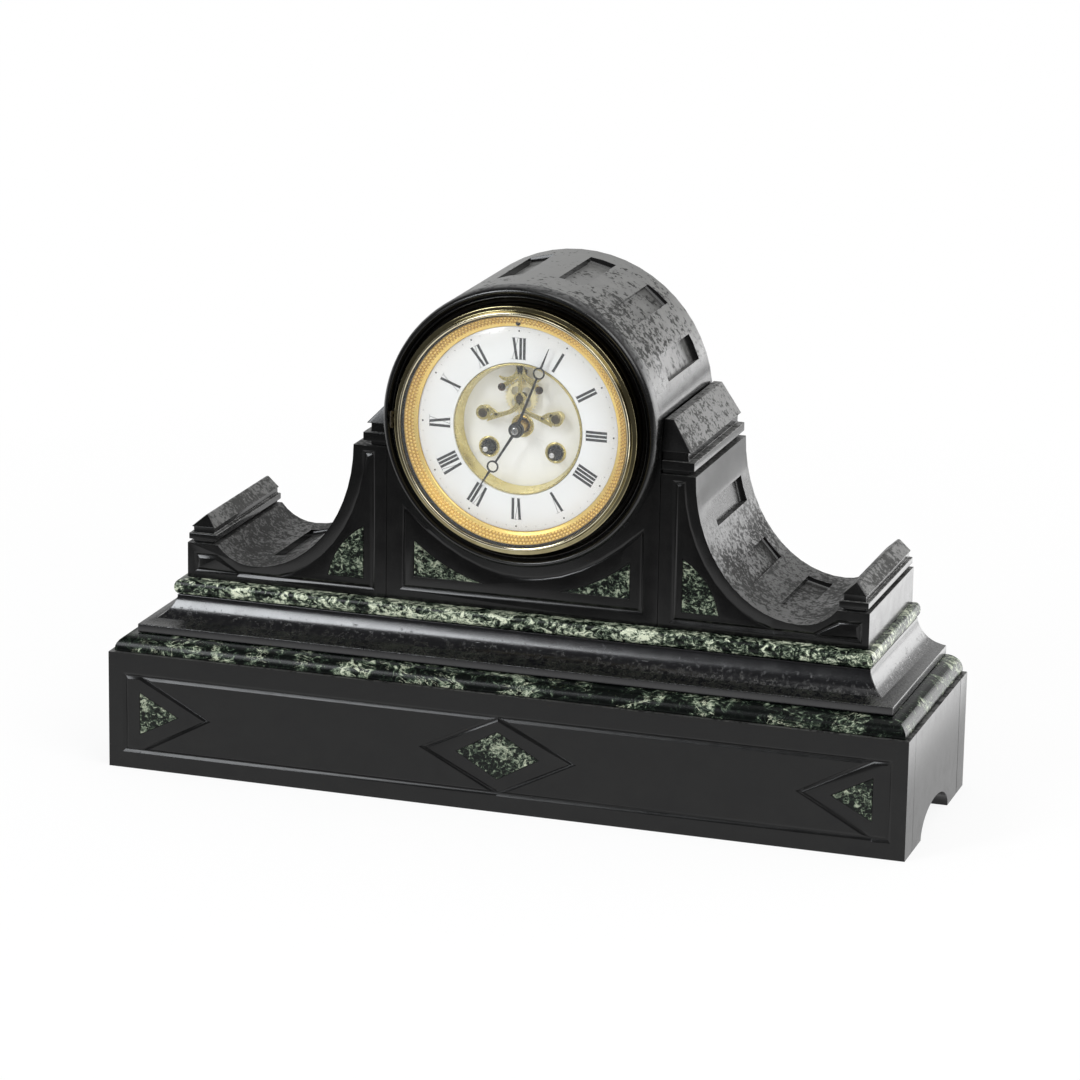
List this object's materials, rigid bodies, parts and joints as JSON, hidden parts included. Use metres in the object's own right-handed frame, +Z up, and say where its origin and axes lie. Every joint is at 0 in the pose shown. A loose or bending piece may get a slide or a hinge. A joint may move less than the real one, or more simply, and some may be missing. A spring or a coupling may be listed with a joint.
{
  "type": "mantel clock",
  "caption": "Drumhead mantel clock of dark slate and green marble with scrolled side wings, hinged glazed bezel, visible escapement and striking pendulum movement.",
  "frame": {"origin": "middle of the underside of the plinth", "axes": "+X to the right seen from the front, +Y to the back, +Z up"},
  "size_m": [0.46, 0.137, 0.2887],
  "materials": {
    "slate": "honed, worn on the tops",
    "marble": "polished, mottled green",
    "brass": "lacquered",
    "gilt": "gilt, engine turned",
    "steel": "polished",
    "blued_steel": "blued",
    "enamel": "gloss white",
    "glass": "clear, domed"
  },
  "bodies": {
    "case": {"plinth_front": "slate", "plinth_back": "slate", "plinth_left_end": "slate", "plinth_right_end": "slate", "cavetto_moulding": "slate", "drum_block": "slate", "drum_ring": "slate", "wing_left": "slate", "wing_right": "slate", "upper_cap_left": "slate", "upper_cap_right": "slate", "end_cap_left": "slate", "end_cap_right": "slate", "plinth_lozenge_inlay": "marble", "plinth_triangle_inlay_left": "marble", "plinth_triangle_inlay_right": "marble", "lower_marble_slab": "marble", "upper_marble_slab": "marble", "wing_inlay_left": "marble", "wing_inlay_right": "marble", "spandrel_inlay_left": "marble", "spandrel_inlay_right": "marble", "dial_mount_ring": "brass", "bell": "brass", "front_plate": "brass", "back_plate": "brass", "suspension_cock": "brass", "rear_ring": "brass", "slip_ring": "gilt", "dial_inner_ring": "gilt", "escapement_bridge": "gilt", "bell_stand": "steel", "dial_chapter_ring": "enamel", "dial_centre": "enamel"},
    "bezel_door": {"bezel": "brass", "bezel_glass": "glass"},
    "back_door": {"rear_door": "brass"},
    "minute_work": {"centre_wheel": "brass", "minute_hand": "blued_steel", "hand_collet": "steel"},
    "hour_work": {"hour_wheel": "brass", "hour_hand": "blued_steel"},
    "minute_pinion": {"minute_wheel": "brass"},
    "second_arbor": {"second_wheel": "brass"},
    "going_drum": {"going_barrel": "brass", "going_mainspring": "steel"},
    "third_arbor": {"third_wheel": "brass"},
    "escape_arbor": {"escape_wheel": "brass"},
    "pendulum": {"pendulum_rod": "steel", "pendulum_bob": "brass"},
    "pallet_arbor": {"pallets": "steel"},
    "going_square": {"going_winding_arbor": "steel"},
    "strike_square": {"strike_winding_arbor": "steel"},
    "strike_drum": {"strike_barrel": "brass", "strike_mainspring": "steel"},
    "pin_arbor": {"pin_wheel": "brass"},
    "fly_arbor": {"fly": "brass"},
    "strike_hammer": {"hammer": "steel"},
    "regulator": {"regulator_arbor": "steel"},
    "nut": {"rating_nut": "brass"}
  },
  "joints": [
    {"name": "bezel_hinge", "type": "hinge", "parent": "case", "child": "bezel_door", "pos_m": [-0.0707, -0.0456, 0.2103], "axis": [0, 0, -1], "range_deg": [0, 110]},
    {"name": "rear_door_hinge", "type": "hinge", "parent": "case", "child": "back_door", "pos_m": [0.0623, 0.06415, 0.2103], "axis": [0, 0, -1], "range_deg": [0, 100]},
    {"name": "minute_turn", "type": "hinge", "parent": "case", "child": "minute_work", "pos_m": [0, 0, 0.2103], "axis": [0, 1, 0], "continuous": true},
    {"name": "hour_turn", "type": "hinge", "parent": "case", "child": "hour_work", "pos_m": [0, 0, 0.2103], "axis": [0, 1, 0], "continuous": true},
    {"name": "minute_wheel_turn", "type": "hinge", "parent": "case", "child": "minute_pinion", "pos_m": [0.012, 0, 0.2103], "axis": [0, 1, 0], "continuous": true},
    {"name": "second_wheel_turn", "type": "hinge", "parent": "case", "child": "second_arbor", "pos_m": [0.01243, 0, 0.21756], "axis": [0, 1, 0], "continuous": true},
    {"name": "going_barrel_turn", "type": "hinge", "parent": "case", "child": "going_drum", "pos_m": [0.019, 0, 0.1968], "axis": [0, 1, 0], "continuous": true},
    {"name": "third_wheel_turn", "type": "hinge", "parent": "case", "child": "third_arbor", "pos_m": [-0.00874, 0, 0.22019], "axis": [0, 1, 0], "continuous": true},
    {"name": "escape_wheel_turn", "type": "hinge", "parent": "case", "child": "escape_arbor", "pos_m": [0, 0, 0.2269], "axis": [0, 1, 0], "continuous": true},
    {"name": "pendulum_swing", "type": "hinge", "parent": "case", "child": "pendulum", "pos_m": [0, 0.0325, 0.2403], "axis": [0, 1, 0], "range_deg": [-3, 3]},
    {"name": "pallet_swing", "type": "hinge", "parent": "case", "child": "pallet_arbor", "pos_m": [0, 0, 0.2403], "axis": [0, 1, 0], "range_deg": [-3, 3]},
    {"name": "going_winding", "type": "hinge", "parent": "case", "child": "going_square", "pos_m": [0.019, 0, 0.1968], "axis": [0, 1, 0], "continuous": true},
    {"name": "strike_winding", "type": "hinge", "parent": "case", "child": "strike_square", "pos_m": [-0.019, 0, 0.1968], "axis": [0, 1, 0], "continuous": true},
    {"name": "strike_barrel_turn", "type": "hinge", "parent": "case", "child": "strike_drum", "pos_m": [-0.019, 0, 0.1968], "axis": [0, 1, 0], "continuous": true},
    {"name": "pin_wheel_turn", "type": "hinge", "parent": "case", "child": "pin_arbor", "pos_m": [-0.03054, 0, 0.21527], "axis": [0, 1, 0], "continuous": true},
    {"name": "fly_turn", "type": "hinge", "parent": "case", "child": "fly_arbor", "pos_m": [-0.02659, 0, 0.22555], "axis": [0, 1, 0], "continuous": true},
    {"name": "hammer_swing", "type": "hinge", "parent": "case", "child": "strike_hammer", "pos_m": [-0.0219, 0, 0.17237], "axis": [0, -1, 0], "range_deg": [0, 20], "stiffness_Nm_per_rad": 0.012, "springref_deg": -28.65},
    {"name": "regulator_turn", "type": "hinge", "parent": "case", "child": "regulator", "pos_m": [0, 0, 0.2694], "axis": [0, 1, 0], "continuous": true},
    {"name": "rating_nut_turn", "type": "hinge", "parent": "pendulum", "child": "nut", "pos_m": [0, 0.0325, 0.0933], "axis": [0, 0, 1], "continuous": true}
  ],
  "couplings": [
    {"joint": "hour_turn", "follows": "minute_turn", "ratio": 0.083333},
    {"joint": "minute_wheel_turn", "follows": "minute_turn", "ratio": -0.33333},
    {"joint": "second_wheel_turn", "follows": "minute_turn", "ratio": -0.25},
    {"joint": "going_barrel_turn", "follows": "minute_turn", "ratio": 0.0625},
    {"joint": "third_wheel_turn", "follows": "minute_turn", "ratio": -4},
    {"joint": "escape_wheel_turn", "follows": "minute_turn", "ratio": 15},
    {"joint": "pin_wheel_turn", "follows": "strike_barrel_turn", "ratio": -4},
    {"joint": "fly_turn", "follows": "strike_barrel_turn", "ratio": 15},
    {"joint": "pallet_swing", "follows": "pendulum_swing", "ratio": 1}
  ]
}
